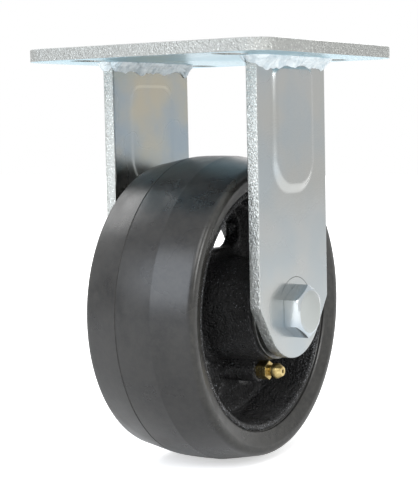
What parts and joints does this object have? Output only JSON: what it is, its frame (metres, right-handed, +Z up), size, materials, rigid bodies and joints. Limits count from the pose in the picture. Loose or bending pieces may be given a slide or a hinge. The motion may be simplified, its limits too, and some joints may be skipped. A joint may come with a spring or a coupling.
{
  "type": "fixed castor",
  "caption": "Fixed plate castor: a slotted top plate with a welded steel fork that holds a rubber-tyred cast iron wheel on a roller bearing.",
  "frame": {"origin": "centre of the top plate's upper face, which bolts under the load", "axes": "+Z up out of the plate, X along the rolling direction, Y along the axle; the bolt head is on the -Y side"},
  "size_m": [0.127, 0.1142, 0.1714],
  "materials": {
    "zinc_plate": "bright zinc plate on steel strip",
    "weld_bead": "weld bead under zinc plate",
    "zinc_fastener": "bright zinc plate on the bolt and nut",
    "nylon": "nylon locking ring",
    "hardened_steel": "ground hardened steel",
    "black_iron": "gloss black paint on sand-cast iron",
    "rubber": "moulded dark rubber, satin",
    "retainer_steel": "dull pressed steel",
    "cage_steel": "pressed steel cage",
    "brass": "turned brass",
    "ball_steel": "polished steel ball",
    "roller_steel": "ground steel rollers"
  },
  "bodies": {
    "fork": {"top_plate": "zinc_plate", "near_leg": "zinc_plate", "far_leg": "zinc_plate", "near_outer_weld": "weld_bead", "near_inner_weld": "weld_bead", "far_outer_weld": "weld_bead", "far_inner_weld": "weld_bead", "axle_bolt": "zinc_fastener", "axle_nut": "zinc_fastener", "nut_insert": "nylon", "axle_sleeve": "hardened_steel", "near_washer": "hardened_steel", "far_washer": "hardened_steel"},
    "wheel": {"wheel_core": "black_iron", "tyre": "rubber", "near_retainer": "retainer_steel", "far_retainer": "retainer_steel", "grease_fitting": "brass"},
    "cage": {"roller_cage": "cage_steel"},
    "ball": {"check_ball": "ball_steel"},
    "roller_1_body": {"roller_1": "roller_steel"},
    "roller_2_body": {"roller_2": "roller_steel"},
    "roller_3_body": {"roller_3": "roller_steel"},
    "roller_4_body": {"roller_4": "roller_steel"},
    "roller_5_body": {"roller_5": "roller_steel"},
    "roller_6_body": {"roller_6": "roller_steel"},
    "roller_7_body": {"roller_7": "roller_steel"},
    "roller_8_body": {"roller_8": "roller_steel"},
    "roller_9_body": {"roller_9": "roller_steel"},
    "roller_10_body": {"roller_10": "roller_steel"}
  },
  "joints": [
    {"name": "wheel_spin", "type": "hinge", "parent": "fork", "child": "wheel", "pos_m": [0, 0, -0.10795], "axis": [0, 1, 0], "continuous": true},
    {"name": "cage_spin", "type": "hinge", "parent": "fork", "child": "cage", "pos_m": [0, 0, -0.10795], "axis": [0, 1, 0], "continuous": true},
    {"name": "ball_lift", "type": "slide", "parent": "wheel", "child": "ball", "axis": [0, 1, 0], "range_m": [0, 0.0008], "stiffness_N_per_m": 400, "springref_m": -0.0004},
    {"name": "roller_1_spin", "type": "hinge", "parent": "cage", "child": "roller_1_body", "pos_m": [0.00996, 0, -0.11519], "axis": [0, 1, 0], "continuous": true},
    {"name": "roller_2_spin", "type": "hinge", "parent": "cage", "child": "roller_2_body", "pos_m": [0.00381, 0, -0.11966], "axis": [0, 1, 0], "continuous": true},
    {"name": "roller_3_spin", "type": "hinge", "parent": "cage", "child": "roller_3_body", "pos_m": [-0.00381, 0, -0.11966], "axis": [0, 1, 0], "continuous": true},
    {"name": "roller_4_spin", "type": "hinge", "parent": "cage", "child": "roller_4_body", "pos_m": [-0.00996, 0, -0.11519], "axis": [0, 1, 0], "continuous": true},
    {"name": "roller_5_spin", "type": "hinge", "parent": "cage", "child": "roller_5_body", "pos_m": [-0.01231, 0, -0.10795], "axis": [0, 1, 0], "continuous": true},
    {"name": "roller_6_spin", "type": "hinge", "parent": "cage", "child": "roller_6_body", "pos_m": [-0.00996, 0, -0.10071], "axis": [0, 1, 0], "continuous": true},
    {"name": "roller_7_spin", "type": "hinge", "parent": "cage", "child": "roller_7_body", "pos_m": [-0.00381, 0, -0.09624], "axis": [0, 1, 0], "continuous": true},
    {"name": "roller_8_spin", "type": "hinge", "parent": "cage", "child": "roller_8_body", "pos_m": [0.00381, 0, -0.09624], "axis": [0, 1, 0], "continuous": true},
    {"name": "roller_9_spin", "type": "hinge", "parent": "cage", "child": "roller_9_body", "pos_m": [0.00996, 0, -0.10071], "axis": [0, 1, 0], "continuous": true},
    {"name": "roller_10_spin", "type": "hinge", "parent": "cage", "child": "roller_10_body", "pos_m": [0.01231, 0, -0.10795], "axis": [0, 1, 0], "continuous": true}
  ],
  "couplings": [
    {"joint": "cage_spin", "follows": "wheel_spin", "ratio": 0.61328},
    {"joint": "roller_1_spin", "follows": "wheel_spin", "ratio": 2.1242},
    {"joint": "roller_2_spin", "follows": "wheel_spin", "ratio": 2.1242},
    {"joint": "roller_3_spin", "follows": "wheel_spin", "ratio": 2.1242},
    {"joint": "roller_4_spin", "follows": "wheel_spin", "ratio": 2.1242},
    {"joint": "roller_5_spin", "follows": "wheel_spin", "ratio": 2.1242},
    {"joint": "roller_6_spin", "follows": "wheel_spin", "ratio": 2.1242},
    {"joint": "roller_7_spin", "follows": "wheel_spin", "ratio": 2.1242},
    {"joint": "roller_8_spin", "follows": "wheel_spin", "ratio": 2.1242},
    {"joint": "roller_9_spin", "follows": "wheel_spin", "ratio": 2.1242},
    {"joint": "roller_10_spin", "follows": "wheel_spin", "ratio": 2.1242}
  ]
}
